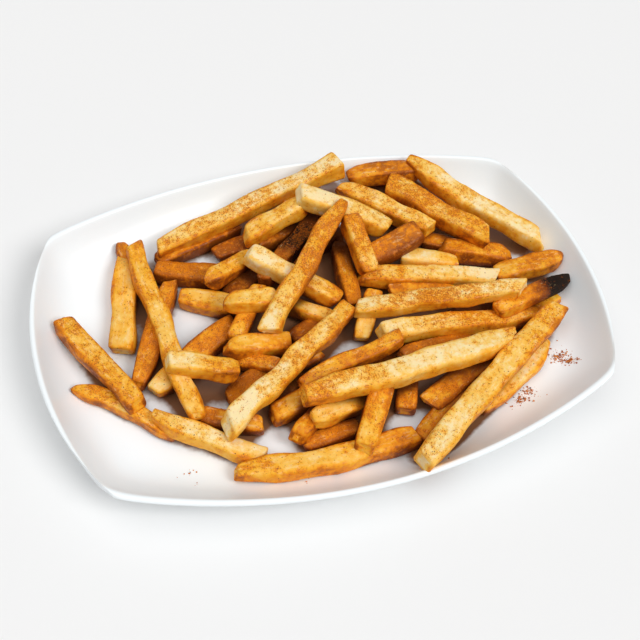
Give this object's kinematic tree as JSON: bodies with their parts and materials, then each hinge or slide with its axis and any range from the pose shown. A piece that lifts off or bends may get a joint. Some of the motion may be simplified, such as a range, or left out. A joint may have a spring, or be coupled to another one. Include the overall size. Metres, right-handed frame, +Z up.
{
  "type": "french fries portion",
  "caption": "Heap of hand-cut, paprika-dusted french fries served in a shallow white porcelain platter with bowed sides and blunt rounded corners.",
  "frame": {"origin": "on the table, under the middle of the platter", "axes": "+X along the platter's length, +Y across it towards the back, +Z up"},
  "size_m": [0.289, 0.2012, 0.0395],
  "materials": {
    "porcelain": "white glaze, glossy",
    "fried_potato": "fried potato, lightly oiled, dusted with paprika"
  },
  "bodies": {
    "root": {"plate": "porcelain", "fries": "fried_potato"}
  },
  "joints": []
}
